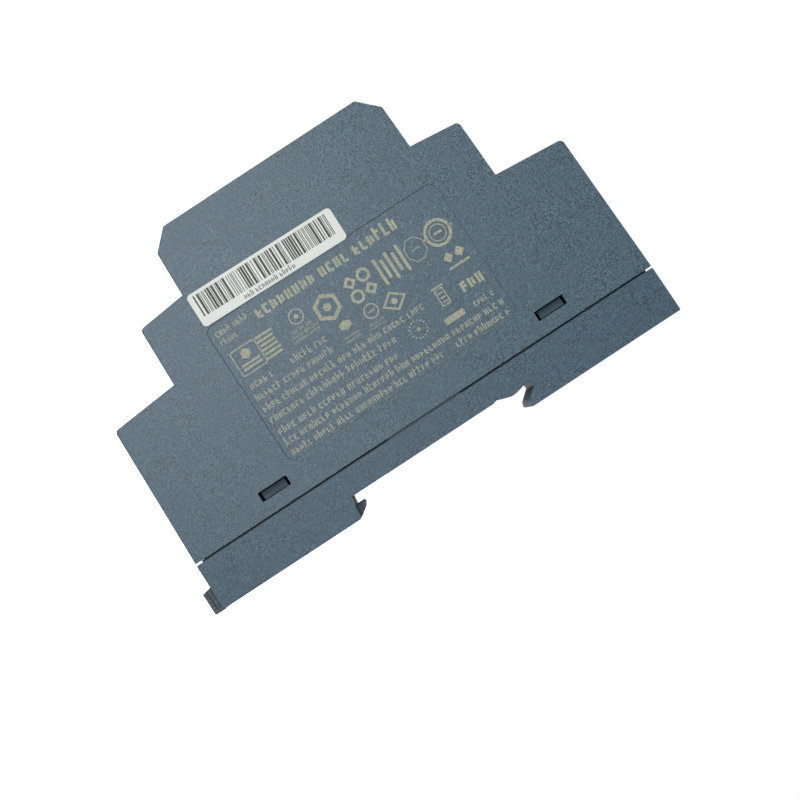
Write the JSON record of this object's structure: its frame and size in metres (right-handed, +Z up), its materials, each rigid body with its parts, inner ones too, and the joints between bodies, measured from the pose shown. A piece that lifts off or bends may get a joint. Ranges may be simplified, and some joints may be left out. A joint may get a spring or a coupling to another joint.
{
  "type": "din rail power supply",
  "caption": "Narrow stepped case that snaps on a 35 mm rail, with screw terminals at both ends, a sprung rail clip, a trimmer, and its circuit board inside.",
  "frame": {"origin": "middle of the rail, on the front face of its two flanges, in the unit's middle plane", "axes": "+Z up the panel to the output terminals, +Y back into the rail (the nose points along -Y), +X along the rail"},
  "size_m": [0.0177, 0.0587, 0.0924],
  "materials": {
    "housing_plastic": "fine spark-eroded grain",
    "clip_plastic": "fine grain",
    "label_paper": "printed film",
    "board_laminate": "solder-masked laminate",
    "insulating_film": "satin film",
    "ceramic_chips": "fired ceramic",
    "terminal_plastic": "moulded",
    "tinned_copper": "tin plated",
    "screw_steel": "zinc plated",
    "cage_steel": "zinc plated",
    "ferrite": "ground ferrite",
    "black_plastic": "moulded",
    "winding_tape": "polyester tape",
    "can_sleeve_dark": "shrink sleeve",
    "can_sleeve_green": "shrink sleeve",
    "magnet_wire": "enamelled copper",
    "film_box_yellow": "moulded box",
    "disc_blue": "dipped epoxy",
    "disc_green": "dipped coating",
    "chip_epoxy": "moulded epoxy",
    "chip_epoxy_white": "moulded epoxy",
    "spreader_aluminium": "rolled sheet",
    "trimmer_blue": "moulded",
    "trimmer_white": "moulded",
    "led_resin": "tinted resin",
    "clear_plastic": "clear polycarbonate"
  },
  "bodies": {
    "case": {"front_housing": "housing_plastic", "rear_base": "housing_plastic", "clip_spring": "clip_plastic", "serial_label": "label_paper", "main_board": "board_laminate", "insulating_sheet": "insulating_film", "chip_parts": "ceramic_chips", "output_block": "terminal_plastic", "input_block": "terminal_plastic", "output_bars": "tinned_copper", "input_bars": "tinned_copper", "transformer_core": "ferrite", "transformer_bobbin": "black_plastic", "transformer_winding": "winding_tape", "input_capacitors": "can_sleeve_dark", "output_capacitors": "can_sleeve_green", "line_choke_core": "ferrite", "line_choke_windings": "magnet_wire", "x_capacitor": "film_box_yellow", "y_capacitor": "disc_blue", "fuse": "black_plastic", "surge_varistor": "disc_blue", "inrush_thermistor": "disc_green", "bridge_rectifier": "chip_epoxy", "power_switch": "chip_epoxy", "optocoupler": "chip_epoxy_white", "control_chip": "chip_epoxy", "output_rectifier": "chip_epoxy", "heat_spreader": "spreader_aluminium", "rectifier_screw": "screw_steel", "output_inductor_core": "ferrite", "output_inductor_winding": "magnet_wire", "trimmer_body": "trimmer_blue", "status_led": "led_resin", "light_guide": "clear_plastic"},
    "rail_clip": {"rail_clip": "clip_plastic"},
    "trimmer_rotor": {"trimmer_rotor": "trimmer_white"},
    "output_screw_left": {"output_screw_left": "screw_steel"},
    "output_cage_left": {"output_cage_left": "cage_steel"},
    "output_screw_right": {"output_screw_right": "screw_steel"},
    "output_cage_right": {"output_cage_right": "cage_steel"},
    "input_screw_left": {"input_screw_left": "screw_steel"},
    "input_cage_left": {"input_cage_left": "cage_steel"},
    "input_screw_right": {"input_screw_right": "screw_steel"},
    "input_cage_right": {"input_cage_right": "cage_steel"}
  },
  "joints": [
    {"name": "clip_slide", "type": "slide", "parent": "case", "child": "rail_clip", "axis": [0, 0, -1], "range_m": [0, 0.0032], "stiffness_N_per_m": 1500, "springref_m": -0.002, "deforming": ["clip_spring"]},
    {"name": "trimmer_turn", "type": "hinge", "parent": "case", "child": "trimmer_rotor", "pos_m": [0, -0.0525, 0.0086], "axis": [0, 1, 0], "range_deg": [-135, 135]},
    {"name": "output_screw_left_turn", "type": "hinge", "parent": "case", "child": "output_screw_left", "pos_m": [-0.0036, -0.0296, 0.038], "axis": [0, 1, 0], "range_deg": [0, 2700]},
    {"name": "output_cage_left_rise", "type": "slide", "parent": "case", "child": "output_cage_left", "axis": [0, -1, 0], "range_m": [0, 0.00375]},
    {"name": "output_screw_right_turn", "type": "hinge", "parent": "case", "child": "output_screw_right", "pos_m": [0.0036, -0.0296, 0.038], "axis": [0, 1, 0], "range_deg": [0, 2700]},
    {"name": "output_cage_right_rise", "type": "slide", "parent": "case", "child": "output_cage_right", "axis": [0, -1, 0], "range_m": [0, 0.00375]},
    {"name": "input_screw_left_turn", "type": "hinge", "parent": "case", "child": "input_screw_left", "pos_m": [-0.0036, -0.0296, -0.038], "axis": [0, 1, 0], "range_deg": [0, 2700]},
    {"name": "input_cage_left_rise", "type": "slide", "parent": "case", "child": "input_cage_left", "axis": [0, -1, 0], "range_m": [0, 0.00375]},
    {"name": "input_screw_right_turn", "type": "hinge", "parent": "case", "child": "input_screw_right", "pos_m": [0.0036, -0.0296, -0.038], "axis": [0, 1, 0], "range_deg": [0, 2700]},
    {"name": "input_cage_right_rise", "type": "slide", "parent": "case", "child": "input_cage_right", "axis": [0, -1, 0], "range_m": [0, 0.00375]}
  ],
  "couplings": [
    {"joint": "output_screw_left_turn", "follows": "output_cage_left_rise", "rad_per_m": 12566},
    {"joint": "output_screw_right_turn", "follows": "output_cage_right_rise", "rad_per_m": 12566},
    {"joint": "input_screw_left_turn", "follows": "input_cage_left_rise", "rad_per_m": 12566},
    {"joint": "input_screw_right_turn", "follows": "input_cage_right_rise", "rad_per_m": 12566}
  ]
}
